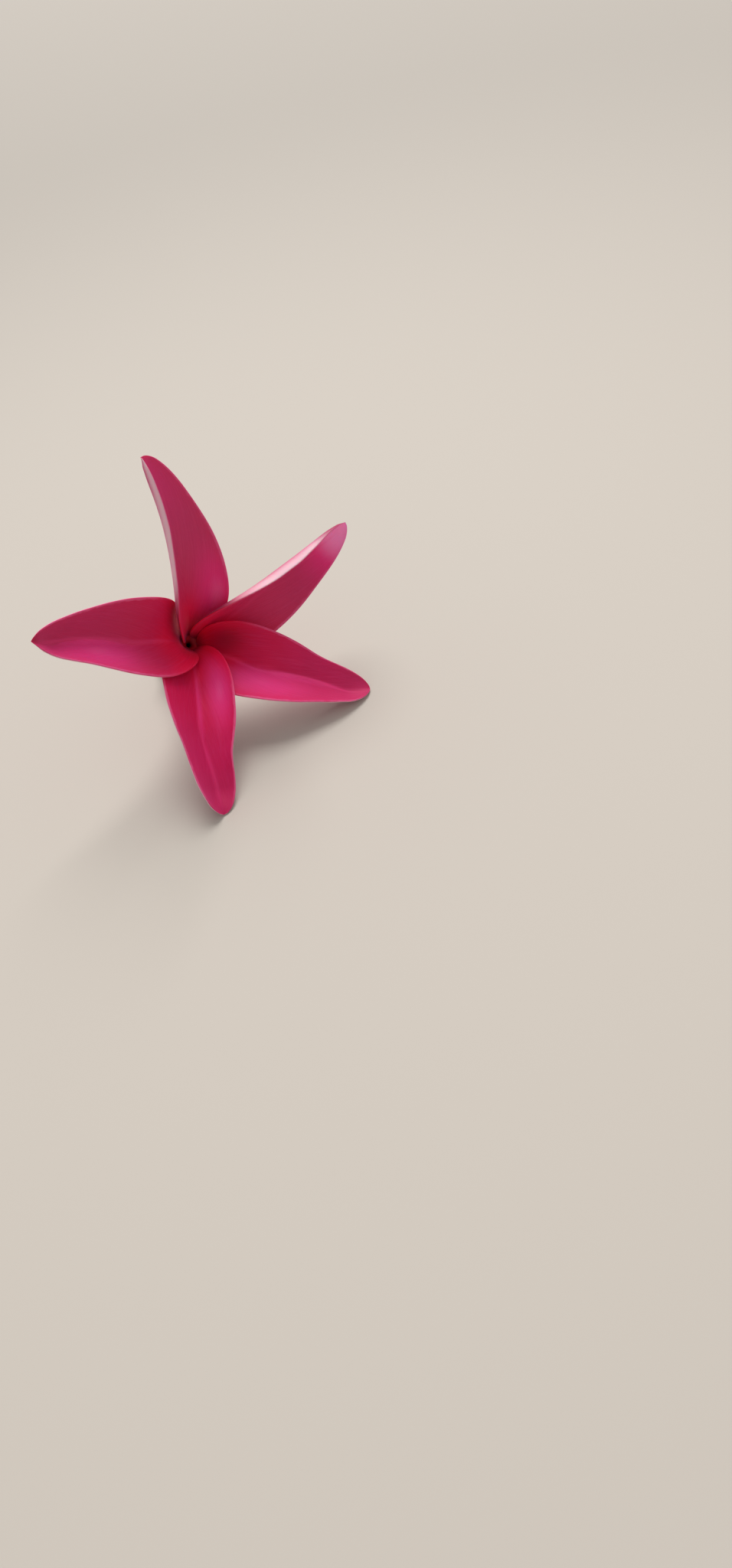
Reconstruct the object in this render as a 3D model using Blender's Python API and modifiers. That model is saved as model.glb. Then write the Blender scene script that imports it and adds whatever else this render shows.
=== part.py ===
"""Frangipani flower, as picked: five overlapping petals, corolla tube, calyx and stalk.

The flower is modelled in its own frame, in millimetres: +Z is the axis of its face, pointing
out of the throat, and the throat's rim is at z = 0. It is then laid on the surface, where it
rests on the cut end of its stalk and on the two lower petals.
"""
import math
from collections import namedtuple

import bmesh
import bpy
import numpy as np
from mathutils import Matrix, Vector

MM = 0.001
FLOWER = "frangipani_flower"

# The petals' bases, which are alike all round the throat (mm and degrees)
THROAT_RADIUS = 2.4
CLAW_HALF_WIDTH = 1.1
CLAW_FADE = 0.15
CLAW_RISE = 61
CLAW_RISE_FADE = 0.21
CLAW_ROLL = 21
CLAW_ROLL_FADE = 0.18
CLAW_CUP = 28

# The petals' blades
WIDEST_AT = 0.33
BASE_TAPER = 0.86
CREASE = 6.5
CUP_FULL_AT = 0.3
CURL_FULL_AT = 0.5
CURL_FADES_AT = 0.65
CURL_FADE = 0.3
CUP_SPREAD = 1.6
PINCH_AT = 0.72
PINCH_SPREAD = 0.14
TIP_HALF_WIDTH = 0.4
BLADE_THICKNESS = 1.1
CLAW_THICKNESS = 0.6
MARGIN_THICKNESS = 0.5

# Each petal in its own right. Angles are in degrees and lengths in mm. heading is the way the
# petal leaves the throat, sweep how far it bends round by its tip, rise its slope above the face,
# arch the change of slope by its tip, roll its lean about its midrib and twist the change of lean.
# lead is the half with the margin that covers the next petal, and trail is the covered half.
# cup is the hollow of both halves, curl the further hollow of the lead half, tip_taper is the power
# that shapes the outline beyond the widest place, and lead_pinch and trail_pinch are the shares by
# which each half is drawn in before the tip.
Petal = namedtuple(
    "Petal", "name heading sweep length rise arch roll twist lead trail cup curl tip_taper lead_pinch trail_pinch")
PETALS = [
    Petal("petal_top", 114, 23, 56.5, 31, -4, -3, 41, 9.0, 12.0, 34, 0, 0.50, 0.00, 0.05),
    Petal("petal_upper_right", 39, 10, 56.0, 19, 3, 26, 20, 8.5, 11.0, 29, 21, 0.50, 0.05, 0.05),
    Petal("petal_lower_right", -26, 26, 53.5, 27, -20, 11, -35, 10.5, 12.5, 16, -6, 0.55, 0.10, 0.10),
    Petal("petal_bottom", -95, 18, 55.5, 21, -12, 15, -24, 9.0, 12.5, 20, 8, 0.45, 0.20, 0.15),
    Petal("petal_left", 194, -4, 60.0, 26, -7, -12, 19, 10.5, 12.0, 19, -2, 0.65, 0.10, 0.00),
]
STATIONS = 28
STRIPS = 10

# Corolla tube, calyx and stalk, all on the flower's axis, below the petals
GAP = 0.3
MOUTH_Z = -0.75
TUBE_LENGTH = 20
MOUTH_RADIUS = 3.0
WAIST_RADIUS = 1.9
FOOT_RADIUS = 2.2
TUBE_WALL = 0.7
FLARE_LENGTH = 4
FOOT_LENGTH = 5
BORE_FLOOR = 3
CALYX_HEIGHT = 3.4
CALYX_WALL = 0.6
CALYX_FLARE = 0.3
CALYX_LOBES = 5
LOBE_HEIGHT = 0.7
STALK_LENGTH = 8
STALK_RADIUS = 1.25
STALK_BEND = 1.0
TURN_STEPS = 40

# How it lies: turned about its own axis, then leaned over until its face looks towards -Y
REST_SPIN = -41.80
REST_LEAN = 53.75

MAGENTA = (0.50, 0.006, 0.075, 1)
TUBE_PINK = (0.62, 0.25, 0.30, 1)
CALYX_GREEN = (0.23, 0.22, 0.07, 1)
STALK_GREEN = (0.20, 0.24, 0.08, 1)


def remove_everything():
    for old in list(bpy.data.objects):
        bpy.data.objects.remove(old, do_unlink=True)


def material(name, colour, roughness):
    made = bpy.data.materials.new(name)
    made.use_nodes = True
    shader = made.node_tree.nodes["Principled BSDF"]
    shader.inputs["Base Color"].default_value = colour
    shader.inputs["Roughness"].default_value = roughness
    shader.inputs["Metallic"].default_value = 0.0
    return made


def add_object(name, data, collection, colour, roughness=0.45):
    made = bpy.data.objects.new(name, data)
    data.materials.append(material(name + "_skin", colour, roughness))
    collection.objects.link(made)
    return made


def smooth(t):
    t = np.clip(t, 0, 1)
    return t * t * (3 - 2 * t)


def outline(petal, s):
    """Half-width along the petal as a share of its greatest, 0 to 1, from base to tip."""
    power = math.log(0.5) / math.log(WIDEST_AT)
    arc = np.maximum(np.sin(math.pi * s ** power), 0)
    return np.where(s < WIDEST_AT, arc ** BASE_TAPER, arc ** petal.tip_taper)


def half_widths(petal, s):
    """Half-widths of the lead and trail sides in mm; neither end comes to a point."""
    ends = (CLAW_HALF_WIDTH * np.exp(-(s / CLAW_FADE) ** 2)) ** 2 + (TIP_HALF_WIDTH * s ** 8) ** 2
    blade = outline(petal, s)
    pinch = np.exp(-((s - PINCH_AT) / PINCH_SPREAD) ** 2)
    lead = petal.lead * blade * (1 - petal.lead_pinch * pinch)
    trail = petal.trail * blade * (1 - petal.trail_pinch * pinch)
    return np.sqrt(lead ** 2 + ends), np.sqrt(trail ** 2 + ends)


def midrib(petal, s):
    """Points of the midrib, with the directions across the petal and out of its front."""
    rise = petal.rise + petal.arch * s ** 2
    rise = rise + (CLAW_RISE - rise) * np.exp(-(s / CLAW_RISE_FADE) ** 1.5)
    heading = np.radians(petal.heading + petal.sweep * s ** 1.5)
    roll = petal.roll + petal.twist * s
    roll = np.radians(roll + (CLAW_ROLL - roll) * np.exp(-(s / CLAW_ROLL_FADE) ** 2))
    rise = np.radians(rise)
    level = np.cos(rise)
    along = np.stack([level * np.cos(heading), level * np.sin(heading), np.sin(rise)], -1)
    across = np.stack([-np.sin(heading), np.cos(heading), 0 * heading], -1)
    front = np.cross(along, across)
    steps = (along[1:] + along[:-1]) / 2 * (np.diff(s) * petal.length)[:, None]
    leaves_at = math.radians(petal.heading)
    base = THROAT_RADIUS * np.array([math.cos(leaves_at), math.sin(leaves_at), 0])
    points = np.vstack([base, base + np.cumsum(steps, axis=0)])
    c, k = np.cos(roll)[:, None], np.sin(roll)[:, None]
    return points, c * across + k * front, c * front - k * across


def petal_front(petal, s, v):
    """The petal's front surface: a grid of points over s, base to tip, and v, trail to lead."""
    points, across, front = midrib(petal, s)
    lead, trail = half_widths(petal, s)
    width = np.where(v[None, :] > 0, lead[:, None], trail[:, None])
    side = np.sign(v)[None, :]
    out = np.abs(v)[None, :]
    cup = petal.cup * smooth(s / CUP_FULL_AT) + CLAW_CUP * (1 - smooth(s / CUP_FULL_AT))
    curl = petal.curl * smooth(s / CURL_FULL_AT) * (1 - smooth((s - CURL_FADES_AT) / CURL_FADE))
    bend = np.radians(cup[:, None] + np.where(v[None, :] > 0, curl[:, None], 0)) * CUP_SPREAD
    run = np.sin(bend * out) / bend
    lift = (1 - np.cos(bend * out)) / bend
    crease = math.radians(CREASE)
    x = side * (run * math.cos(crease) - lift * math.sin(crease)) * width
    z = (lift * math.cos(crease) + run * math.sin(crease)) * width
    return points[:, None, :] + x[..., None] * across[:, None, :] + z[..., None] * front[:, None, :]


def petal_thickness(s, v):
    """Thickest along the midrib, thinner at the base and thin at the margins and tip."""
    rib = CLAW_THICKNESS + (BLADE_THICKNESS - CLAW_THICKNESS) * smooth(s / 0.2)
    inside = (1 - np.abs(v)[None, :] ** 3) * (1 - s[:, None] ** 8)
    return MARGIN_THICKNESS + (rib[:, None] - MARGIN_THICKNESS) * inside


def add_petal(petal, collection):
    """A grid shaped to the petal's front, given its thickness backwards by Solidify."""
    u = np.linspace(0, 1, STATIONS + 1)
    s = 0.5 * u + 0.25 * (1 - np.cos(math.pi * u))
    v = np.linspace(-1, 1, STRIPS + 1)
    front = petal_front(petal, s, v) * MM
    thickness = petal_thickness(s, v)
    bm = bmesh.new()
    bmesh.ops.create_grid(bm, x_segments=STATIONS, y_segments=STRIPS, size=1)
    weights = []
    for vert in bm.verts:
        i = round((vert.co.x + 1) / 2 * STATIONS)
        j = round((vert.co.y + 1) / 2 * STRIPS)
        vert.co = Vector(front[i, j])
        weights.append(thickness[i, j] / BLADE_THICKNESS)
    data = bpy.data.meshes.new(petal.name)
    bm.to_mesh(data)
    bm.free()
    made = add_object(petal.name, data, collection, MAGENTA)
    group = made.vertex_groups.new(name="thickness")
    for index, weight in enumerate(weights):
        group.add([index], float(weight), "REPLACE")
    shell = made.modifiers.new("thickness", "SOLIDIFY")
    shell.thickness = BLADE_THICKNESS * MM
    shell.offset = -1
    shell.vertex_group = group.name
    shell.thickness_vertex_group = 0
    return made


def tube_radius(z):
    """Outer radius of the corolla tube, which flares at the mouth and swells at the foot."""
    below = MOUTH_Z - z
    flare = (MOUTH_RADIUS - WAIST_RADIUS) * math.exp(-below / FLARE_LENGTH)
    swell = (FOOT_RADIUS - WAIST_RADIUS) * math.exp(-(TUBE_LENGTH - below) / FOOT_LENGTH)
    return WAIST_RADIUS + flare + swell


def turned(name, profile, collection, colour):
    """A solid of revolution about Z from a profile of (radius, z) points in mm."""
    bm = bmesh.new()
    verts = [bm.verts.new((r * MM, 0, z * MM)) for r, z in profile]
    for a, b in zip(verts, verts[1:]):
        bm.edges.new((a, b))
    data = bpy.data.meshes.new(name)
    bm.to_mesh(data)
    bm.free()
    made = add_object(name, data, collection, colour)
    screw = made.modifiers.new("turn", "SCREW")
    screw.steps = TURN_STEPS
    screw.render_steps = TURN_STEPS
    screw.use_merge_vertices = True
    screw.merge_threshold = 0.00001
    return made


def add_tube(collection):
    """Hollow tube: up the bore from its floor, over the mouth and down the outside."""
    foot_z = MOUTH_Z - TUBE_LENGTH
    floor_z = foot_z + BORE_FLOOR
    bore = [(tube_radius(z) - TUBE_WALL, z) for z in np.linspace(floor_z + 0.5, MOUTH_Z, 12)]
    outside = [(tube_radius(z), z) for z in np.linspace(MOUTH_Z, foot_z, 14)]
    profile = [(0, floor_z)] + bore + outside + [(0, foot_z)]
    return turned("corolla_tube", profile, collection, TUBE_PINK)


def add_calyx(collection):
    """Small cup round the tube's foot, spun from its section, with its rim drawn into lobes."""
    foot_z = MOUTH_Z - TUBE_LENGTH
    floor_z = foot_z - GAP
    rim_z = floor_z + CALYX_HEIGHT
    inner = FOOT_RADIUS + GAP
    outer = inner + CALYX_WALL
    section = [
        (0, floor_z),
        (inner * 0.8, floor_z),
        (inner, floor_z + 0.4),
        (inner, floor_z + 0.5 * CALYX_HEIGHT),
        (inner + CALYX_FLARE, rim_z),
        (outer + CALYX_FLARE * 0.8, rim_z),
        (outer, floor_z + 0.5 * CALYX_HEIGHT),
        (outer, floor_z),
        (STALK_RADIUS + 0.4, floor_z - 0.8),
        (0, floor_z - 0.8),
    ]
    bm = bmesh.new()
    verts = [bm.verts.new((r * MM, 0, z * MM)) for r, z in section]
    edges = [bm.edges.new(pair) for pair in zip(verts, verts[1:])]
    bmesh.ops.spin(
        bm, geom=verts + edges, cent=(0, 0, 0), axis=(0, 0, 1), angle=math.tau, steps=TURN_STEPS,
    )
    bmesh.ops.remove_doubles(bm, verts=bm.verts, dist=0.00001)
    for vert in bm.verts:
        height = (vert.co.z / MM - floor_z) / CALYX_HEIGHT
        lobe = math.cos(CALYX_LOBES * math.atan2(vert.co.y, vert.co.x))
        vert.co.z += LOBE_HEIGHT * lobe * max(height, 0) ** 2 * MM
    bmesh.ops.recalc_face_normals(bm, faces=bm.faces)
    data = bpy.data.meshes.new("calyx")
    bm.to_mesh(data)
    bm.free()
    return add_object("calyx", data, collection, CALYX_GREEN)


def add_stalk(collection):
    """The pedicel: a short, slightly bent round stalk with a clean cut end."""
    top_z = MOUTH_Z - TUBE_LENGTH - 2 * GAP - 0.8
    data = bpy.data.curves.new("pedicel", "CURVE")
    data.dimensions = "3D"
    data.bevel_depth = STALK_RADIUS * MM
    data.bevel_resolution = 4
    data.use_fill_caps = True
    line = data.splines.new("POLY")
    count = 7
    line.points.add(count - 1)
    for i, point in enumerate(line.points):
        t = i / (count - 1)
        point.co = (STALK_BEND * t * t * MM, 0, (top_z - STALK_LENGTH * t) * MM, 1)
    return add_object("pedicel", data, collection, STALK_GREEN)


def lay_down(parts, collection):
    """Turn the flower to its resting pose, with the middle of its box over the origin."""
    rest = bpy.data.objects.new("flower_at_rest", None)
    collection.objects.link(rest)
    rest.matrix_world = Matrix.Rotation(math.radians(REST_LEAN), 4, "X") @ Matrix.Rotation(
        math.radians(REST_SPIN), 4, "Z")
    for part in parts:
        part.parent = rest
    bpy.context.view_layer.update()
    graph = bpy.context.evaluated_depsgraph_get()
    corners = []
    for part in parts:
        seen = part.evaluated_get(graph)
        mesh = seen.to_mesh()
        corners += [seen.matrix_world @ vert.co for vert in mesh.vertices]
        seen.to_mesh_clear()
    spread = np.array([tuple(corner) for corner in corners])
    low, high = spread.min(axis=0), spread.max(axis=0)
    rest.location = (-(low[0] + high[0]) / 2, -(low[1] + high[1]) / 2, -low[2])


def main():
    remove_everything()
    collection = bpy.data.collections.new(FLOWER)
    bpy.context.scene.collection.children.link(collection)
    parts = [add_petal(petal, collection) for petal in PETALS]
    parts += [add_tube(collection), add_calyx(collection), add_stalk(collection)]
    lay_down(parts, collection)


main()
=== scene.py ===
import math
from collections import namedtuple

import bpy
import numpy as np
from mathutils import Matrix, Vector


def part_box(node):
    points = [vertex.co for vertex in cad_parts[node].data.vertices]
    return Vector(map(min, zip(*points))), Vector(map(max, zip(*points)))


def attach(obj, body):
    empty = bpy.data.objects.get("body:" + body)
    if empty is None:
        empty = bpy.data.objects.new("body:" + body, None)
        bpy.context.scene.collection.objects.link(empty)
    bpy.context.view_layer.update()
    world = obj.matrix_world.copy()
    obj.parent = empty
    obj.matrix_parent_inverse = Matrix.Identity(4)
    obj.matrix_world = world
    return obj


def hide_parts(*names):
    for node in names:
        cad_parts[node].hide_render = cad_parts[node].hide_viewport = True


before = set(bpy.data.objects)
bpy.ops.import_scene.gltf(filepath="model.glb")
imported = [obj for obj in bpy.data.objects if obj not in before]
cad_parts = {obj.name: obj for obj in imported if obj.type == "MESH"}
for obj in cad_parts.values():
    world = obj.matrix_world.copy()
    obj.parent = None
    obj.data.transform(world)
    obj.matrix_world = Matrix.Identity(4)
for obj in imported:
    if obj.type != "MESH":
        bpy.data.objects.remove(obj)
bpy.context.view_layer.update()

MM = 0.001

# The petals' bases, which are alike all round the throat (mm and degrees)
THROAT_RADIUS = 2.4
CLAW_HALF_WIDTH = 1.1
CLAW_FADE = 0.15
CLAW_RISE = 61
CLAW_RISE_FADE = 0.21
CLAW_ROLL = 21
CLAW_ROLL_FADE = 0.18
CLAW_CUP = 28

# In the bloom the claws are wider than in the CAD model, so that the throat looks closed from the
# front. Behind it, neighbouring claws still stand up to 1.5 mm apart. The petals end in finer, thinner
# tips. CLAW_SPREAD and FINE_TIP are half-widths in mm, THINS_BY is a share of the thickness, and the
# tip is rounded off by rings at TIP_ANGLES (degrees).
CLAW_SPREAD = 0.75
CLAW_SPREAD_FADE = 0.10
FINE_TIP = 0.1
THINS_AT = 0.95
THINS_BY = 0.8
TIP_ANGLES = (25, 50, 72)

# The petals' blades, in mm, degrees and shares of the length
WIDEST_AT = 0.33
BASE_TAPER = 0.86
CREASE = 6.5
CUP_FULL_AT = 0.3
CURL_FULL_AT = 0.5
CURL_FADES_AT = 0.65
CURL_FADE = 0.3
CUP_SPREAD = 1.6
PINCH_AT = 0.72
PINCH_SPREAD = 0.14
TIP_HALF_WIDTH = 0.4
BLADE_THICKNESS = 1.1
CLAW_THICKNESS = 0.6
MARGIN_THICKNESS = 0.5

# heading and sweep steer the midrib round the flower's axis, rise and arch lift it off the face, roll
# and twist turn the blade about it; lead and trail are the greatest half-widths in mm, cup and curl
# bend the blade across (degrees), and the pinches narrow its two sides before the tip.
Petal = namedtuple("Petal", (
    "name", "heading", "sweep", "length", "rise", "arch", "roll", "twist", "lead", "trail", "cup",
    "curl", "tip_taper", "lead_pinch", "trail_pinch"))
PETALS = [
    Petal("petal_top", 114, 23, 56.5, 31, -4, -3, 41, 9.0, 12.0, 34, 0, 0.50, 0.00, 0.05),
    Petal("petal_upper_right", 39, 10, 56.0, 19, 3, 26, 20, 8.5, 11.0, 29, 21, 0.50, 0.05, 0.05),
    Petal("petal_lower_right", -26, 26, 53.5, 27, -20, 11, -35, 10.5, 12.5, 16, -6, 0.55, 0.10, 0.10),
    Petal("petal_bottom", -95, 18, 55.5, 21, -12, 15, -24, 9.0, 12.5, 20, 8, 0.45, 0.20, 0.15),
    Petal("petal_left", 194, -4, 60.0, 26, -7, -12, 19, 10.5, 12.0, 19, -2, 0.65, 0.10, 0.00),
]

# Fine relief on each petal: fold is how deep the valley along its midrib is drawn in and wander how
# far the valley strays sideways (mm), ripple is the height of the waves in its margins (mm), and
# phase sets where all of these waves start. pale is how far the petal's colour is greyed, a painted
# sheen, strongest on the top and upper right petals, on which the lamp's light grazes.
Relief = namedtuple("Relief", "fold wander ripple phase pale")
RELIEFS = {
    "petal_top": Relief(0.3, 0.3, 0.06, 0.15, 0.65),
    "petal_upper_right": Relief(0.9, 0.5, 0.09, 0.60, 0.50),
    "petal_lower_right": Relief(1.9, 0.9, 0.10, 0.35, 0.12),
    "petal_bottom": Relief(1.6, 0.8, 0.10, 0.05, 0.0),
    "petal_left": Relief(1.9, 0.7, 0.07, 0.80, 0.24),
}
FOLD_REACH = 4.5
FOLD_SOFTNESS = 0.25
SWELL_HEIGHT = 0.12
RIDGE_HEIGHT = 0.14
RIDGE_WIDTH = 0.4
VEIN_PITCH = 6.0
VEIN_SLANT = 5.0
VEIN_HEIGHT = 0.007

# Where a petal's colour strays from the common one, most of it painted light: a half of a fold, the
# ridge beside the valley or a tip that faces the lamp is painted lighter, and the throat, a tip or a
# half of a fold that lies in shade is painted darker. Each patch lies at a place across the petal,
# trail -1 to lead +1, and along it, with a width across, a reach along and a strength: above 0 it is
# a light magenta painted highlight, below 0 a deep crimson painted shade, save for the small dark spot
# at the left petal's tip. side is 1 or -1 for a patch that stops at the valley and keeps to the lead or
# trail half, and 0 for one that crosses it.
Patch = namedtuple("Patch", "across along width reach strength side")
PATCHES = {
    "petal_top": [
        Patch(-0.75, 0.24, 0.55, 0.22, 0.55, 0),
        Patch(0.0, 0.95, 1.5, 0.40, 0.34, 0),
    ],
    "petal_upper_right": [
        Patch(-0.1, 0.98, 2.5, 0.24, 0.90, 0),
        Patch(0.3, 0.45, 1.5, 0.25, 0.15, 0),
    ],
    "petal_lower_right": [
        Patch(-0.40, 0.42, 0.55, 0.26, 0.50, -1),
        Patch(0.0, 0.55, 0.10, 0.30, 0.20, 0),
        Patch(0.45, 0.16, 0.5, 0.12, -0.80, 0),
    ],
    "petal_bottom": [
        Patch(0.55, 0.34, 0.45, 0.22, 0.54, 1),
        Patch(-0.05, 0.40, 0.06, 0.26, 0.40, 0),
        Patch(-0.35, 0.45, 0.5, 0.30, -0.10, 0),
        Patch(0.0, 1.0, 1.5, 0.34, -0.20, 0),
    ],
    "petal_left": [
        Patch(0.28, 0.66, 0.70, 0.27, 0.52, 1),
        Patch(-0.35, 0.50, 0.6, 0.35, -0.14, -1),
        Patch(0.0, 1.0, 1.5, 0.03, -0.60, 0),
    ],
}
VALLEY_EDGE = 0.05

# Mesh density
STATIONS = 220
STRIPS = 72
RIM_STEPS = 7
TURN_STEPS = 120

# Corolla tube, calyx and stalk, all on the flower's axis, below the petals (mm)
GAP = 0.3
MOUTH_Z = -0.75
TUBE_LENGTH = 20
MOUTH_RADIUS = 3.0
WAIST_RADIUS = 1.9
FOOT_RADIUS = 2.2
TUBE_WALL = 0.7
FLARE_LENGTH = 4
FOOT_LENGTH = 5
BORE_FLOOR = 3
THROAT_EYE = 0.6
COLLAR_RISE = 1.9
COLLAR_INSET = 0.12
COLLAR_OUTSET = 0.10
FUNNEL_TOP = 0.9
CALYX_HEIGHT = 3.4
CALYX_WALL = 0.6
CALYX_FLOOR = 0.8
CALYX_FLARE = 0.3
CALYX_LOBES = 5
LOBE_HEIGHT = 0.7
STALK_LENGTH = 8
STALK_RADIUS = 1.25
STALK_BEND = 1.0
CAP_RADIUS = 0.05

# How the flower lies, as in the CAD model (degrees)
REST_SPIN = -41.80
REST_LEAN = 53.75

# The camera: where it stands about the flower's face, and how it is framed (mm and degrees)
FIELD_OF_VIEW = 67.3
CAMERA_DISTANCE = 341
VIEW_TILT_RIGHT = 29.0
VIEW_TILT_UP = 6.5
AIM_RIGHT = 50.9
AIM_BELOW = 40.5

# The light: one large soft lamp above the picture and an even sky (m, W)
KEY_DISTANCE = 6.0
KEY_SIZE = 4.3
KEY_POWER = 357
SKY_STRENGTH = 0.5
WARM_WHITE = (1.0, 0.98, 0.96)

REST_TURN = Matrix.Rotation(math.radians(REST_LEAN), 3, "X") @ Matrix.Rotation(
    math.radians(REST_SPIN), 3, "Z")


def smooth(t):
    t = np.clip(t, 0, 1)
    return t * t * (3 - 2 * t)


def wave(turns):
    return np.sin(math.tau * turns)


def unit(vectors):
    return vectors / np.maximum(np.linalg.norm(vectors, axis=-1, keepdims=True), 1e-12)


# The petals' shape ----------------------------------------------------------------

def outline(petal, s):
    """Half-width along the petal as a share of its greatest, 0 to 1, from base to tip."""
    power = math.log(0.5) / math.log(WIDEST_AT)
    arc = np.maximum(np.sin(math.pi * s ** power), 0)
    return np.where(s < WIDEST_AT, arc ** BASE_TAPER, arc ** petal.tip_taper)


def half_widths(petal, s, claw_spread=0.0, tip=TIP_HALF_WIDTH):
    """Half-widths of the lead and trail sides in mm; neither end comes to a point."""
    claw = CLAW_HALF_WIDTH * np.exp(-(s / CLAW_FADE) ** 2)
    claw = claw + claw_spread * np.exp(-(s / CLAW_SPREAD_FADE) ** 2)
    ends = claw ** 2 + (tip * s ** 8) ** 2
    blade = outline(petal, s)
    pinch = np.exp(-((s - PINCH_AT) / PINCH_SPREAD) ** 2)
    lead = petal.lead * blade * (1 - petal.lead_pinch * pinch)
    trail = petal.trail * blade * (1 - petal.trail_pinch * pinch)
    return np.sqrt(lead ** 2 + ends), np.sqrt(trail ** 2 + ends)


def midrib(petal, s):
    """Points of the midrib, with the directions across the petal and out of its front."""
    rise = petal.rise + petal.arch * s ** 2
    rise = rise + (CLAW_RISE - rise) * np.exp(-(s / CLAW_RISE_FADE) ** 1.5)
    heading = np.radians(petal.heading + petal.sweep * s ** 1.5)
    roll = petal.roll + petal.twist * s
    roll = np.radians(roll + (CLAW_ROLL - roll) * np.exp(-(s / CLAW_ROLL_FADE) ** 2))
    rise = np.radians(rise)
    level = np.cos(rise)
    along = np.stack([level * np.cos(heading), level * np.sin(heading), np.sin(rise)], -1)
    across = np.stack([-np.sin(heading), np.cos(heading), 0 * heading], -1)
    front = np.cross(along, across)
    steps = (along[1:] + along[:-1]) / 2 * (np.diff(s) * petal.length)[:, None]
    leaves_at = math.radians(petal.heading)
    base = THROAT_RADIUS * np.array([math.cos(leaves_at), math.sin(leaves_at), 0])
    points = np.vstack([base, base + np.cumsum(steps, axis=0)])
    c, k = np.cos(roll)[:, None], np.sin(roll)[:, None]
    return points, c * across + k * front, c * front - k * across


def petal_front(petal, s, v, claw_spread=0.0, tip=TIP_HALF_WIDTH):
    """The petal's plain front: a grid of points over s, base to tip, and v, trail to lead."""
    points, across, front = midrib(petal, s)
    lead, trail = half_widths(petal, s, claw_spread, tip)
    width = np.where(v[None, :] > 0, lead[:, None], trail[:, None])
    side = np.sign(v)[None, :]
    out = np.abs(v)[None, :]
    cup = petal.cup * smooth(s / CUP_FULL_AT) + CLAW_CUP * (1 - smooth(s / CUP_FULL_AT))
    curl = petal.curl * smooth(s / CURL_FULL_AT) * (1 - smooth((s - CURL_FADES_AT) / CURL_FADE))
    bend = np.radians(cup[:, None] + np.where(v[None, :] > 0, curl[:, None], 0)) * CUP_SPREAD
    run = np.sin(bend * out) / bend
    lift = (1 - np.cos(bend * out)) / bend
    crease = math.radians(CREASE)
    x = side * (run * math.cos(crease) - lift * math.sin(crease)) * width
    z = (lift * math.cos(crease) + run * math.sin(crease)) * width
    return points[:, None, :] + x[..., None] * across[:, None, :] + z[..., None] * front[:, None, :]


def petal_thickness(s, v):
    """Thickest along the midrib, thinner at the base and thin at the margins and tip."""
    rib = CLAW_THICKNESS + (BLADE_THICKNESS - CLAW_THICKNESS) * smooth(s / 0.2)
    inside = (1 - np.abs(v)[None, :] ** 3) * (1 - s[:, None] ** 8)
    return MARGIN_THICKNESS + (rib[:, None] - MARGIN_THICKNESS) * inside


def valley_line(petal, s):
    """How far in mm the valley strays from the midrib, towards the lead side."""
    relief = RELIEFS[petal.name]
    return relief.wander * wave(1.4 * s + relief.phase) * smooth((s - 0.2) / 0.3)


def petal_relief(petal, s, v):
    """Height of the relief over the plain front in mm, and its veins and its ridge alone."""
    relief = RELIEFS[petal.name]
    lead, trail = half_widths(petal, s)
    s = s[:, None]
    valley = valley_line(petal, s)
    off = v[None, :] * np.where(v[None, :] > 0, lead[:, None], trail[:, None])
    blade = smooth((s - 0.06) / 0.25) * (1 - smooth((s - 0.86) / 0.14))
    from_valley = np.sqrt((off - valley) ** 2 + FOLD_SOFTNESS ** 2)
    fold = -relief.fold * blade * np.exp(-from_valley / FOLD_REACH)
    side_phase = np.where(v[None, :] > 0, 0.0, 0.37)
    edge = np.abs(v)[None, :] ** 4 * smooth((s - 0.15) / 0.25) * (1 - smooth((s - 0.9) / 0.1))
    long_wave = wave(3.1 * s + relief.phase + side_phase)
    short_wave = wave(7.3 * s + 2.3 * relief.phase + side_phase)
    ripple = relief.ripple * edge * (long_wave + 0.25 * short_wave)
    swell = wave(1.7 * s + relief.phase) * wave(0.32 * v[None, :] + 2 * relief.phase)
    swell = SWELL_HEIGHT * blade * swell
    vein = wave((s * petal.length - VEIN_SLANT * np.abs(off)) / VEIN_PITCH)
    vein = vein * blade * smooth((1 - np.abs(v)[None, :]) / 0.15)
    ridge = np.exp(-((off - valley + RIDGE_WIDTH) / RIDGE_WIDTH) ** 2) * blade * relief.fold / 2
    return fold + ripple + swell + VEIN_HEIGHT * vein + RIDGE_HEIGHT * ridge, vein, ridge


def petal_tone_and_painted_light(petal, s, v):
    """How far the colour strays at each point, from -1, deep crimson, mostly painted shade, to 1, light
    magenta, mostly painted highlight.
    """
    lead, trail = half_widths(petal, s)
    valley = (valley_line(petal, s) / np.maximum(np.minimum(lead, trail), 1))[:, None]
    total = np.zeros((len(s), len(v)))
    for patch in PATCHES[petal.name]:
        across = (v[None, :] - patch.across) / patch.width
        along = (s[:, None] - patch.along) / patch.reach
        amount = patch.strength * np.exp(-across ** 2 - along ** 2)
        if patch.side:
            amount = amount * smooth(patch.side * (v[None, :] - valley) / VALLEY_EDGE + 0.5)
        total += amount
    return np.clip(total, -1, 1)


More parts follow.
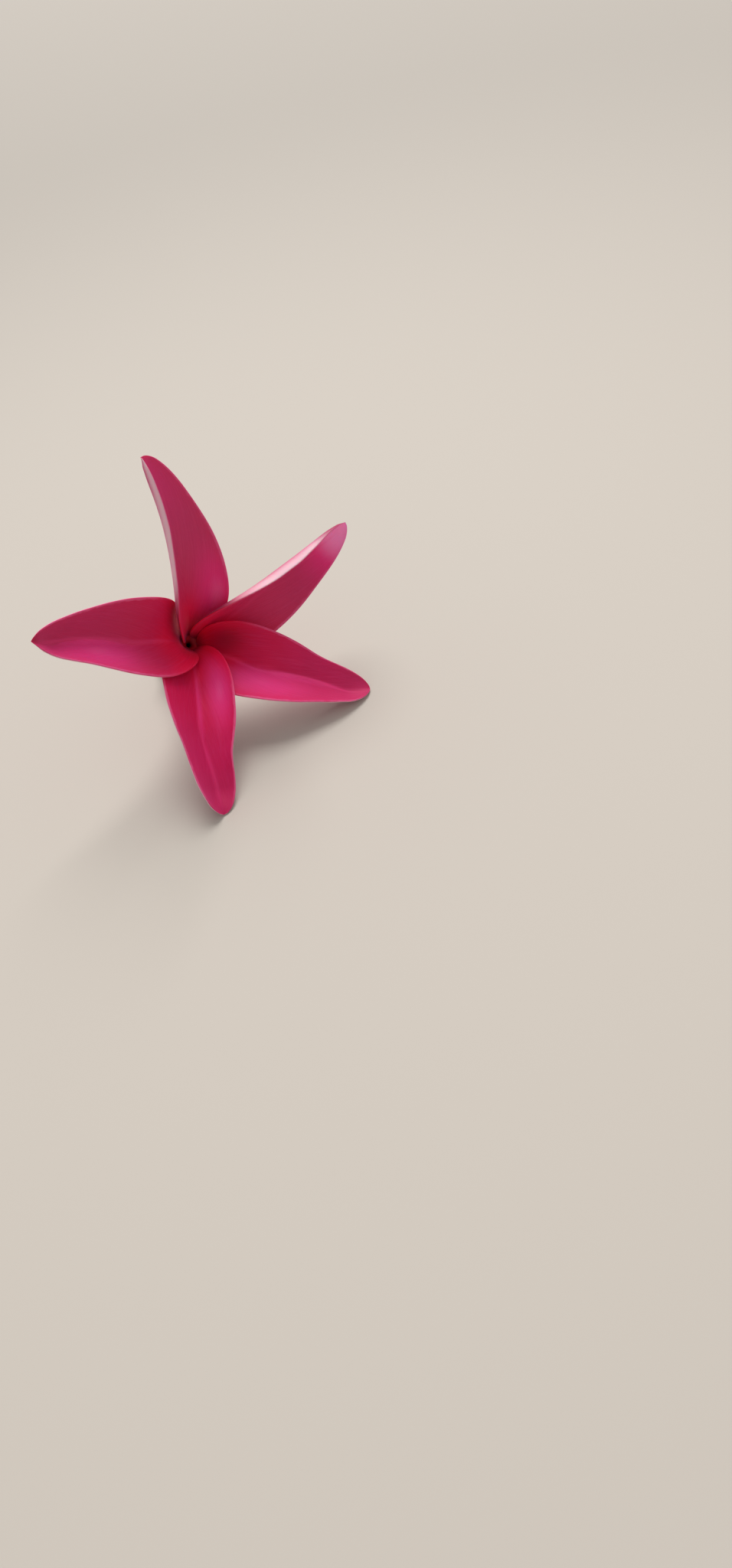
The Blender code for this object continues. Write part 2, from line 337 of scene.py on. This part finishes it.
def petal_loops(petal):
    """Closed loops round the petal from base to tip, the values its material reads, and the way on."""
    u = np.linspace(0, 1, STATIONS + 1)
    s = 0.5 * u + 0.25 * (1 - np.cos(math.pi * u))
    v = np.linspace(-1, 1, STRIPS + 1)
    plain = petal_front(petal, s, v, CLAW_SPREAD, FINE_TIP)
    out = unit(np.cross(np.gradient(plain, axis=0), np.gradient(plain, axis=1)))
    height, vein, ridge = petal_relief(petal, s, v)
    front = plain + height[..., None] * out
    across = np.gradient(front, axis=1)
    normal = unit(np.cross(np.gradient(front, axis=0), across))
    fine = 1 - THINS_BY * smooth((s - THINS_AT) / (1 - THINS_AT))
    thickness = (petal_thickness(s, v) * fine[:, None])[..., None]
    back = front - thickness * normal
    turn = np.linspace(0, math.pi, RIM_STEPS + 2)[1:-1]

    def rim(edge, outward, angles):
        centre = (front[:, edge] + back[:, edge]) / 2
        radius = thickness[:, edge] / 2
        return [centre + radius * (math.cos(a) * normal[:, edge] + math.sin(a) * outward) for a in angles]

    lead_rim = rim(-1, unit(across[:, -1]), turn)
    trail_rim = rim(0, -unit(across[:, 0]), turn[::-1])
    loops = np.concatenate(
        [front, np.stack(lead_rim, 1), back[:, ::-1], np.stack(trail_rim, 1)], axis=1)
    lead_share = np.cos(turn)
    facing = np.concatenate([np.ones(STRIPS + 1), lead_share, -np.ones(STRIPS + 1), lead_share[::-1]])
    reach = np.concatenate([v, np.ones(RIM_STEPS), v[::-1], -np.ones(RIM_STEPS)])
    still = np.zeros((len(s), RIM_STEPS))
    values = {
        "along": np.repeat(s[:, None], len(reach), axis=1),
        "across": np.repeat(reach[None, :], len(s), axis=0),
        "facing": np.repeat(facing[None, :], len(s), axis=0),
        "vein": np.concatenate([vein, still, vein[:, ::-1], still], axis=1),
        "ridge": np.concatenate([ridge, still, ridge[:, ::-1], still], axis=1),
        "tone_and_painted_light": petal_tone_and_painted_light(petal, s, reach),
    }
    onward = unit(np.gradient(front, axis=0)[-1].mean(axis=0))
    return loops, values, onward


# Meshes ---------------------------------------------------------------------------

def loft(name, rings, values, origin):
    """A closed mesh over rings of points, in mm in the flower's own frame, turned to its rest pose."""
    rows, count = rings.shape[:2]
    points = rings.reshape(-1, 3) @ np.array(REST_TURN).T + origin
    faces = [tuple(range(count))]
    for i in range(rows - 1):
        for j in range(count):
            k = (j + 1) % count
            faces.append((i * count + j, (i + 1) * count + j, (i + 1) * count + k, i * count + k))
    faces.append(tuple((rows - 1) * count + j for j in reversed(range(count))))
    mesh = bpy.data.meshes.new(name)
    mesh.from_pydata((points * MM).tolist(), [], faces)
    mesh.shade_smooth()
    for label, value in values.items():
        layer = mesh.attributes.new(label, "FLOAT", "POINT")
        layer.data.foreach_set("value", np.broadcast_to(value, (rows, count)).ravel().astype(np.float32))
    mesh.update()
    return mesh


def petal_mesh(petal, origin):
    """The petal's loops, rounded off at the tip."""
    loops, values, onward = petal_loops(petal)
    last = loops[-1]
    middle = last.mean(axis=0)
    for angle in np.radians(TIP_ANGLES):
        ring = middle + (last - middle) * math.cos(angle) + onward * FINE_TIP * math.sin(angle)
        loops = np.concatenate([loops, ring[None]])
    for label, value in values.items():
        values[label] = np.concatenate([value, np.repeat(value[-1:], len(TIP_ANGLES), axis=0)])
    values["pale"] = RELIEFS[petal.name].pale
    return loft(petal.name + "_skin", loops, values, origin)


def turned_rings(profile, bend=None, warp=None):
    """Rings about Z from (radius, z) points; bend shifts them along X, warp changes radius and z."""
    angle = np.linspace(0, math.tau, TURN_STEPS, endpoint=False)[None, :]
    radius = np.array([r for r, z in profile])[:, None] + 0 * angle
    z = np.array([z for r, z in profile])[:, None] + 0 * angle
    if warp:
        radius, z = warp(radius, z, angle)
    x = radius * np.cos(angle) + (bend(z) if bend else 0)
    return np.stack([x, radius * np.sin(angle), z], -1)


def rounded(a, b, steps=5):
    """Points of a half-round lip from (radius, z) a over to b, standing up from them."""
    middle = (np.array(a) + np.array(b)) / 2
    half = (np.array(a) - np.array(b)) / 2
    up = np.array([half[1], -half[0]])
    up = up if up[1] > 0 else -up
    turns = np.linspace(0, math.pi, steps + 2)[1:-1]
    return [tuple(middle + half * math.cos(t) + up * math.sin(t)) for t in turns]


def tube_radius(z):
    """Outer radius of the corolla tube, which flares at the mouth and swells at the foot."""
    below = MOUTH_Z - z
    flare = (MOUTH_RADIUS - WAIST_RADIUS) * math.exp(-below / FLARE_LENGTH)
    swell = (FOOT_RADIUS - WAIST_RADIUS) * math.exp(-(TUBE_LENGTH - below) / FOOT_LENGTH)
    return WAIST_RADIUS + flare + swell


def claw_back_radius(z):
    """How far out the claws' backs are at a height just above the mouth."""
    rise = math.radians(CLAW_RISE)
    slope = 1 / math.tan(rise)
    start = THROAT_RADIUS + CLAW_THICKNESS * math.sin(rise)
    return start + (z + CLAW_THICKNESS * math.cos(rise)) * slope


def tube_mesh(origin):
    """The hollow tube; a thin collar runs up behind the claws, which are set 0.3 mm deep into it."""
    foot_z = MOUTH_Z - TUBE_LENGTH
    floor_z = foot_z + BORE_FLOOR
    top_z = MOUTH_Z + COLLAR_RISE
    bore = [(WAIST_RADIUS - TUBE_WALL, z) for z in np.linspace(floor_z + 0.5, MOUTH_Z - 2.0, 30)]
    funnel_rim = claw_back_radius(MOUTH_Z + FUNNEL_TOP) - COLLAR_INSET
    funnel = []
    for t in np.linspace(0, 1, 16):
        reach = THROAT_EYE + (funnel_rim - THROAT_EYE) * t ** 2
        funnel.append((reach, MOUTH_Z + FUNNEL_TOP - 2.1 * (1 - t ** 0.8)))
    rising = np.linspace(MOUTH_Z + FUNNEL_TOP + 0.1, top_z, 6)
    falling = np.linspace(top_z, MOUTH_Z + 0.5, 8)
    inner_collar = [(claw_back_radius(z) - COLLAR_INSET, z) for z in rising]
    outer_collar = [(claw_back_radius(z) + COLLAR_OUTSET, z) for z in falling]
    outside = [(tube_radius(z), z) for z in np.linspace(MOUTH_Z - 0.6, foot_z + 0.3, 60)]
    foot = [(FOOT_RADIUS - 0.1, foot_z + 0.08), (FOOT_RADIUS - 0.35, foot_z), (CAP_RADIUS, foot_z)]
    lip = rounded(inner_collar[-1], outer_collar[0])
    inner = [(CAP_RADIUS, floor_z), (0.7, floor_z + 0.1)] + bore + funnel + inner_collar
    profile = inner + lip + outer_collar + outside + foot
    inside = len(inner)
    facing = np.array([-1.0] * inside + [1.0] * (len(profile) - inside))
    height = np.array([(z - foot_z) / (top_z - foot_z) for r, z in profile])

    def warp(radius, z, angle):
        ribs = 0.035 * np.cos(5 * angle + 0.12 * z) + 0.012 * np.cos(15 * angle + 1)
        return radius + ribs * smooth((radius - 0.5) / 0.5), z

    values = {"height": height[:, None], "facing": facing[:, None]}
    return loft("corolla_tube_skin", turned_rings(profile, warp=warp), values, origin)


def calyx_mesh(origin):
    """The cup round the tube's foot, with blunt lobes, a rounded rim and a keel down each lobe."""
    floor_z = MOUTH_Z - TUBE_LENGTH - GAP
    inner = FOOT_RADIUS + GAP
    outer = inner + CALYX_WALL
    under_z = floor_z - CALYX_FLOOR
    hollow = [(CAP_RADIUS, floor_z), (inner * 0.8, floor_z)]
    hollow += [(inner * 0.96, floor_z + 0.15), (inner, floor_z + 0.5)]
    for t in np.linspace(0.25, 1, 14):
        hollow.append((inner + CALYX_FLARE * smooth(t) * t, floor_z + t * CALYX_HEIGHT))
    outside = []
    for t in np.linspace(1, 0, 18):
        radius = outer - 0.12 + 0.14 * math.sin(math.pi * t) + CALYX_FLARE * 0.8 * t ** 2
        outside.append((radius, floor_z + t * CALYX_HEIGHT))
    under = [(outer - 0.2, floor_z - 0.2), (outer - 0.5, floor_z - 0.45)]
    under += [(STALK_RADIUS + 0.75, floor_z - 0.65), (STALK_RADIUS + 0.35, floor_z - 0.76)]
    under += [(STALK_RADIUS, under_z), (CAP_RADIUS, under_z)]
    profile = hollow + rounded(hollow[-1], outside[0], 4) + outside + under

    def warp(radius, z, angle):
        height = np.clip((z - floor_z) / CALYX_HEIGHT, 0, None)
        lobe = np.cos(CALYX_LOBES * angle)
        keel = 0.07 * np.maximum(lobe, 0) ** 6 * smooth(height / 0.3)
        keel = keel * smooth((radius - inner - 0.2) / 0.3)
        notch = 0.10 * np.maximum(-lobe, 0) ** 4 * height ** 2
        return radius + keel - notch, z + LOBE_HEIGHT * lobe * height ** 2

    height = np.array([(z - floor_z) / CALYX_HEIGHT for r, z in profile])
    return loft("calyx_skin", turned_rings(profile, warp=warp), {"height": height[:, None]}, origin)


def stalk_mesh(origin):
    """The pedicel: slightly bent, a little swollen where it meets the calyx, cut straight across."""
    top_z = MOUTH_Z - TUBE_LENGTH - 2 * GAP - CALYX_FLOOR
    end_z = top_z - STALK_LENGTH
    side = []
    for t in np.linspace(0, 1, 50):
        radius = STALK_RADIUS + 0.16 * math.exp(-t / 0.08) - 0.05 * math.sin(math.pi * t)
        side.append((radius, top_z - t * (STALK_LENGTH - 0.1)))
    cut = [(STALK_RADIUS - 0.05, end_z + 0.02), (STALK_RADIUS - 0.14, end_z)]
    cut += [(STALK_RADIUS - 0.26, end_z + 0.03), (0.8, end_z + 0.06), (0.5, end_z + 0.03)]
    cut += [(0.3, end_z + 0.02), (CAP_RADIUS, end_z + 0.02)]
    profile = [(CAP_RADIUS, top_z + 0.2), (STALK_RADIUS, top_z + 0.18)] + side + cut

    def bend(z):
        t = np.clip((top_z - z) / STALK_LENGTH, 0, 1)
        return STALK_BEND * t * t

    def warp(radius, z, angle):
        bumps = 0.03 * np.cos(3 * angle + 1.1 * z) + 0.018 * np.cos(7 * angle - 2.3 * z)
        return radius + bumps * smooth((radius - 0.9) / 0.3), z

    is_cut = np.array([0.0] * (2 + len(side)) + [1.0] * len(cut))
    radii = np.array([r / STALK_RADIUS for r, z in profile])
    values = {"cut": is_cut[:, None], "radius": radii[:, None]}
    return loft("pedicel_skin", turned_rings(profile, bend, warp), values, origin)


def throat_origin():
    """Where the throat is in the frame, in mm: the petals' own boxes laid on their CAD boxes."""
    shifts = []
    s = np.linspace(0, 1, 60)
    v = np.linspace(-1, 1, 21)
    for petal in PETALS:
        front = petal_front(petal, s, v)
        normal = unit(np.cross(np.gradient(front, axis=0), np.gradient(front, axis=1)))
        back = front - petal_thickness(s, v)[..., None] * normal
        points = np.concatenate([front.reshape(-1, 3), back.reshape(-1, 3)]) @ np.array(REST_TURN).T
        low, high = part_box(petal.name)
        middle = (np.array(low) + np.array(high)) / 2 / MM
        shifts.append(middle - (points.min(axis=0) + points.max(axis=0)) / 2)
    return np.mean(shifts, axis=0)


# Materials ------------------------------------------------------------------------

class Nodes:
    """Short calls for building a material's node tree."""

    def __init__(self, name):
        self.material = bpy.data.materials.new(name)
        self.material.use_nodes = True
        self.tree = self.material.node_tree
        self.shader = self.tree.nodes["Principled BSDF"]

    def new(self, kind, **settings):
        node = self.tree.nodes.new(kind)
        for key, value in settings.items():
            setattr(node, key, value)
        return node

    def link(self, source, socket):
        self.tree.links.new(source, socket)

    def put(self, socket, value):
        if isinstance(value, bpy.types.NodeSocket):
            self.link(value, socket)
        else:
            socket.default_value = value

    def attribute(self, name):
        return self.new("ShaderNodeAttribute", attribute_name=name).outputs["Fac"]

    def math(self, operation, a, b=None):
        node = self.new("ShaderNodeMath", operation=operation)
        self.put(node.inputs[0], a)
        if b is not None:
            self.put(node.inputs[1], b)
        return node.outputs[0]

    def ramp(self, value, stops):
        node = self.new("ShaderNodeValToRGB")
        node.color_ramp.interpolation = "EASE"
        elements = node.color_ramp.elements
        while len(elements) < len(stops):
            elements.new(0.5)
        for element, (place, colour) in zip(elements, stops):
            element.position = place
            element.color = colour if len(colour) == 4 else (*colour, 1)
        self.link(value, node.inputs["Fac"])
        return node.outputs["Color"]

    def mix(self, share, a, b):
        node = self.new("ShaderNodeMix", data_type="RGBA")
        self.put(node.inputs["Factor"], share)
        self.put(node.inputs["A"], a)
        self.put(node.inputs["B"], b)
        return node.outputs["Result"]

    def noise(self, vector, scale, detail, rough):
        node = self.new("ShaderNodeTexNoise")
        self.put(node.inputs["Vector"], vector)
        node.inputs["Scale"].default_value = scale
        node.inputs["Detail"].default_value = detail
        node.inputs["Roughness"].default_value = rough
        return node.outputs["Fac"]

    def vector(self, x, y):
        node = self.new("ShaderNodeCombineXYZ")
        self.put(node.inputs[0], x)
        self.put(node.inputs[1], y)
        return node.outputs[0]

    def bump(self, height, strength, distance):
        """Fine relief on the shader's normal: a share of strength and a distance in metres."""
        node = self.new("ShaderNodeBump")
        node.inputs["Strength"].default_value = strength
        node.inputs["Distance"].default_value = distance
        self.link(height, node.inputs["Height"])
        self.link(node.outputs["Normal"], self.shader.inputs["Normal"])

    def band(self, value, low, high):
        """0 on low's side and 1 on high's side, whichever is the greater, and smooth between them."""
        node = self.new("ShaderNodeMapRange", interpolation_type="SMOOTHSTEP")
        self.put(node.inputs["Value"], value)
        node.inputs["From Min"].default_value = low
        node.inputs["From Max"].default_value = high
        return node.outputs["Result"]


def colour(red, green, blue):
    """A linear colour from red, green and blue as a screen shows them, 0 to 255."""
    def linear(c):
        c = c / 255
        return c / 12.92 if c <= 0.04045 else ((c + 0.055) / 1.055) ** 2.4
    return (linear(red), linear(green), linear(blue), 1)


def petal_front_colour(n, streaks, fibres, clouds):
    """Crimson in the throat, magenta towards the tip, with fine lines, and with painted highlights and
    painted shade laid on the petal's patches and along its ridge.
    """
    along = n.attribute("along")
    tone_and_painted_light = n.attribute("tone_and_painted_light")
    skin = n.ramp(along, [
        (0.0, colour(150, 0, 12)),
        (0.07, colour(228, 0, 44)),
        (0.16, colour(238, 0, 62)),
        (0.34, colour(216, 8, 76)),
        (0.70, colour(205, 27, 92)),
        (1.0, colour(196, 38, 96)),
    ])
    skin = n.mix(n.math("MULTIPLY", n.band(streaks, 0.45, 0.8), 0.22), skin, colour(205, 48, 112))
    skin = n.mix(n.math("MULTIPLY", n.band(clouds, 0.45, 0.8), 0.20), skin, colour(158, 8, 52))
    veins = n.band(n.attribute("vein"), 0.2, 1.0)
    skin = n.mix(n.math("MULTIPLY", veins, 0.04), skin, colour(214, 60, 120))
    # Painted sheen: the top and upper right petals are greyed away from the base, where the lamp's light
    # grazes them.
    painted_sheen = n.math("MULTIPLY", n.attribute("pale"), n.band(along, 0.1, 0.5))
    skin = n.mix(painted_sheen, skin, colour(198, 78, 116))
    # Painted highlights in light magenta where the patches are above 0, almost pale pink where they are
    # strongest.
    skin = n.mix(n.band(tone_and_painted_light, 0.0, 0.6), skin, colour(238, 60, 138))
    skin = n.mix(n.band(tone_and_painted_light, 0.45, 0.85), skin, colour(255, 150, 208))
    skin = n.mix(n.math("MULTIPLY", n.band(fibres, 0.48, 0.75), 0.13), skin, colour(240, 92, 152))
    skin = n.mix(n.math("MULTIPLY", n.band(fibres, 0.48, 0.30), 0.12), skin, colour(150, 4, 46))
    # A painted highlight along the ridge beside the valley.
    skin = n.mix(n.math("MULTIPLY", n.attribute("ridge"), 0.38), skin, colour(244, 74, 142))
    # Painted shade in deep crimson where the patches are below 0; it also darkens a small spot at the
    # left petal's tip.
    shade = n.math("MAXIMUM", n.math("MULTIPLY", tone_and_painted_light, -1), 0)
    return n.mix(shade, skin, colour(138, 0, 36))


def petal_back_colour(n, streaks, out):
    """Crimson at the base, then pink with darker veins, paling to near white at the margins."""
    along = n.attribute("along")
    skin = n.ramp(along, [
        (0.0, colour(110, 2, 26)),
        (0.16, colour(150, 8, 42)),
        (0.40, colour(198, 76, 114)),
        (0.8, colour(214, 104, 142)),
        (1.0, colour(200, 70, 120)),
    ])
    veins = n.band(n.attribute("vein"), 0.0, 1.0)
    skin = n.mix(n.math("MULTIPLY", veins, 0.16), skin, colour(190, 60, 104))
    skin = n.mix(n.math("MULTIPLY", n.band(streaks, 0.4, 0.8), 0.25), skin, colour(228, 150, 178))
    pale_edge = n.math("MULTIPLY", n.band(out, 0.45, 0.95), n.band(along, 0.22, 0.48))
    skin = n.mix(pale_edge, skin, colour(238, 196, 208))
    # Where the front carries its strongest painted highlights, the back is painted darker
    # crimson-magenta: painted shade for the lit back of the upper right petal's curled tip.
    return n.mix(n.band(n.attribute("tone_and_painted_light"), 0.35, 0.8), skin, colour(166, 26, 80))


def petal_rim(n, streaks, flecks, out):
    """How far the front is paled: a ragged line along the margins, clear of the base and the tip."""
    along = n.attribute("along")
    ragged = n.math("ADD", out, n.math("MULTIPLY", n.math("SUBTRACT", streaks, 0.5), 0.12))
    ragged = n.math("ADD", ragged, n.math("MULTIPLY", n.math("SUBTRACT", flecks, 0.5), 0.08))
    rim = n.math("MULTIPLY", n.band(ragged, 0.945, 1.0), n.band(along, 0.18, 0.42))
    rim = n.math("MULTIPLY", rim, n.band(along, 0.99, 0.88))
    return n.math("MULTIPLY", rim, 0.48)


def petal_material():
    """Satin petal tissue: streaks run from base to tip, and fibres fan out from the valley."""
    n = Nodes("petal_tissue")
    along = n.attribute("along")
    across = n.attribute("across")
    out = n.math("ABSOLUTE", across)
    place = n.new("ShaderNodeTexCoord").outputs["Object"]
    lengthwise = n.vector(n.math("MULTIPLY", across, 9), n.math("MULTIPLY", along, 2.4))
    streaks = n.noise(lengthwise, 2.0, 3, 0.55)
    slant = n.math("SUBTRACT", n.math("MULTIPLY", along, 10), n.math("MULTIPLY", out, 8))
    fibres = n.noise(n.vector(slant, n.math("MULTIPLY", across, 0.7)), 5.0, 3, 0.6)
    clouds = n.noise(place, 70, 3, 0.5)
    grain = n.noise(place, 2200, 2, 0.5)
    flecks = n.noise(place, 500, 2, 0.5)

    front = petal_front_colour(n, streaks, fibres, clouds)
    front = n.mix(petal_rim(n, streaks, flecks, out), front, colour(238, 118, 170))
    back = petal_back_colour(n, streaks, out)
    skin = n.mix(n.band(n.attribute("facing"), -0.9, 0.5), back, front)
    n.link(skin, n.shader.inputs["Base Color"])
    n.link(n.ramp(clouds, [(0.3, (0.42,) * 3), (0.7, (0.54,) * 3)]), n.shader.inputs["Roughness"])
    n.shader.inputs["Specular IOR Level"].default_value = 0.1
    n.shader.inputs["Sheen Weight"].default_value = 0.25
    n.shader.inputs["Sheen Roughness"].default_value = 0.5
    n.shader.inputs["Sheen Tint"].default_value = (1.0, 0.22, 0.62, 1)
    n.shader.inputs["Subsurface Weight"].default_value = 0.25
    n.shader.inputs["Subsurface Radius"].default_value = (1.0, 0.12, 0.25)
    n.shader.inputs["Subsurface Scale"].default_value = 0.0015
    lines = n.math("ADD", streaks, n.math("MULTIPLY", fibres, 0.8))
    n.bump(n.math("ADD", lines, n.math("MULTIPLY", grain, 0.5)), 0.22, 0.00012)
    return n.material


def tube_material():
    """Crimson at the mouth and at the top of the bore, with painted shade, near black, deeper down the
    bore; the outside fades down to pink and pale green.
    """
    n = Nodes("tube_tissue")
    height = n.attribute("height")
    facing = n.attribute("facing")
    place = n.new("ShaderNodeTexCoord").outputs["Object"]
    mottle = n.noise(place, 420, 4, 0.55)
    outside = n.ramp(height, [
        (0.0, colour(176, 172, 116)),
        (0.22, colour(208, 164, 140)),
        (0.55, colour(198, 96, 112)),
        (0.86, colour(172, 44, 74)),
        (1.0, colour(128, 12, 38)),
    ])
    outside = n.mix(n.math("MULTIPLY", n.band(mottle, 0.4, 0.7), 0.3), outside, colour(160, 50, 70))
    # Painted shade: below its top the bore is near black, as the inside of the narrow tube would be in
    # shadow.
    bore = n.ramp(height, [
        (0.0, colour(20, 0, 3)),
        (0.86, colour(50, 0, 6)),
        (0.95, colour(190, 0, 34)),
        (1.0, colour(214, 0, 36)),
    ])
    n.link(n.mix(n.band(facing, -0.2, 0.2), bore, outside), n.shader.inputs["Base Color"])
    n.shader.inputs["Roughness"].default_value = 0.5
    n.shader.inputs["Specular IOR Level"].default_value = 0.25
    n.bump(mottle, 0.2, 0.0001)
    return n.material


def calyx_material():
    """Green, blushed with dark red towards the lobes, with fine pale specks."""
    n = Nodes("calyx_tissue")
    height = n.attribute("height")
    place = n.new("ShaderNodeTexCoord").outputs["Object"]
    mottle = n.noise(place, 600, 4, 0.6)
    specks = n.noise(place, 3200, 2, 0.5)
    skin = n.ramp(height, [
        (0.0, colour(112, 122, 52)),
        (0.5, colour(122, 112, 56)),
        (0.85, colour(124, 70, 52)),
        (1.0, colour(110, 34, 40)),
    ])
    skin = n.mix(n.math("MULTIPLY", n.band(mottle, 0.4, 0.7), 0.4), skin, colour(84, 88, 38))
    skin = n.mix(n.math("MULTIPLY", n.band(specks, 0.62, 0.72), 0.35), skin, colour(170, 172, 110))
    n.link(skin, n.shader.inputs["Base Color"])
    n.shader.inputs["Roughness"].default_value = 0.48
    n.shader.inputs["Specular IOR Level"].default_value = 0.35
    n.bump(mottle, 0.3, 0.00015)
    return n.material


def stalk_material():
    """Green bark with small pale pores, and a cut end of pale wood, pith and a dark rim."""
    n = Nodes("stalk_tissue")
    cut = n.attribute("cut")
    radius = n.attribute("radius")
    place = n.new("ShaderNodeTexCoord").outputs["Object"]
    mottle = n.noise(place, 500, 4, 0.6)
    pores = n.noise(place, 1700, 2, 0.4)
    bark = n.mix(n.band(mottle, 0.35, 0.7), colour(104, 118, 52), colour(122, 92, 54))
    bark = n.mix(n.math("MULTIPLY", n.band(pores, 0.64, 0.72), 0.6), bark, colour(186, 178, 128))
    wood = n.ramp(radius, [
        (0.0, colour(196, 190, 138)),
        (0.35, colour(206, 204, 158)),
        (0.62, colour(168, 176, 104)),
        (0.85, colour(132, 144, 74)),
        (0.95, colour(92, 100, 46)),
    ])
    n.link(n.mix(cut, bark, wood), n.shader.inputs["Base Color"])
    n.shader.inputs["Roughness"].default_value = 0.6
    n.shader.inputs["Specular IOR Level"].default_value = 0.3
    n.bump(n.math("ADD", mottle, pores), 0.35, 0.00015)
    return n.material


# The object -------------------------------------------------------------------------

def add_piece(name, mesh, skin, node):
    piece = bpy.data.objects.new(name, mesh)
    bpy.context.scene.collection.objects.link(piece)
    mesh.materials.append(skin)
    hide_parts(node)
    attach(piece, "root")


def add_flower(origin):
    skin = petal_material()
    for petal in PETALS:
        add_piece(petal.name + "_bloom", petal_mesh(petal, origin), skin, petal.name)
    add_piece("corolla_tube_bloom", tube_mesh(origin), tube_material(), "corolla_tube")
    add_piece("calyx_bloom", calyx_mesh(origin), calyx_material(), "calyx")
    add_piece("pedicel_bloom", stalk_mesh(origin), stalk_material(), "pedicel")


# Stage, lights and camera -----------------------------------------------------------

def add_floor():
    """A matt floor, painted a little darker away from the flower: painted shade that evens out the lamp's
    light over the floor.
    """
    bpy.ops.mesh.primitive_plane_add(size=20, location=(0, 0, 0))
    floor = bpy.context.object
    floor.name = "floor"
    n = Nodes("floor_paint")
    place = n.new("ShaderNodeTexCoord").outputs["Object"]
    reach = n.new("ShaderNodeVectorMath", operation="LENGTH")
    n.put(reach.inputs[0], place)
    # Painted shade that grows away from the flower.
    paint = n.ramp(reach.outputs["Value"], [
        (0.10, colour(196, 189, 180)),
        (0.60, colour(174, 168, 160)),
    ])
    n.link(paint, n.shader.inputs["Base Color"])
    n.shader.inputs["Roughness"].default_value = 0.8
    floor.data.materials.append(n.material)


def view_axes():
    """The camera's right, up and back directions in the frame."""
    tilts = np.tan(np.radians([VIEW_TILT_RIGHT, VIEW_TILT_UP]))
    axis = np.array([tilts[0], tilts[1], 1.0])
    axis /= np.linalg.norm(axis)
    right = np.array([1.0, 0, 0])
    right -= axis * (right @ axis)
    right /= np.linalg.norm(right)
    up = np.cross(axis, right)
    seen = np.stack([right, up, axis], 1)
    return np.array(REST_TURN) @ seen.T


def add_camera(origin):
    """Places the camera and returns its right, up and back directions."""
    turn = view_axes()
    data = bpy.data.cameras.new("camera")
    data.sensor_fit = "VERTICAL"
    data.angle = math.radians(FIELD_OF_VIEW)
    data.clip_start = 0.01
    camera = bpy.data.objects.new("camera", data)
    bpy.context.scene.collection.objects.link(camera)
    throat = np.array([-AIM_RIGHT, AIM_BELOW, -CAMERA_DISTANCE])
    place = (origin - turn @ throat) * MM
    camera.matrix_world = Matrix.Translation(Vector(place)) @ Matrix(turn.tolist()).to_4x4()
    bpy.context.scene.camera = camera
    return turn


def add_key(towards, target):
    data = bpy.data.lights.new("key", "AREA")
    data.shape = "DISK"
    data.size = KEY_SIZE
    data.energy = KEY_POWER
    data.color = WARM_WHITE
    lamp = bpy.data.objects.new("key", data)
    bpy.context.scene.collection.objects.link(lamp)
    lamp.location = target + towards.normalized() * KEY_DISTANCE
    lamp.rotation_euler = (target - lamp.location).to_track_quat("-Z", "Y").to_euler()


def add_lights(turn, origin):
    """The key lamp stands above the picture, slightly left and slightly in front."""
    right, up, back = (Vector(turn[:, i]) for i in range(3))
    add_key(up * 1.0 - right * 0.15 + back * 0.12, Vector(origin * MM))
    world = bpy.data.worlds.new("studio")
    bpy.context.scene.world = world
    world.use_nodes = True
    background = world.node_tree.nodes["Background"]
    background.inputs["Color"].default_value = (*WARM_WHITE, 1)
    background.inputs["Strength"].default_value = SKY_STRENGTH


origin = throat_origin()
add_flower(origin)
add_floor()
turn = add_camera(origin)
add_lights(turn, origin)
bpy.context.scene.view_settings.view_transform = "Standard"
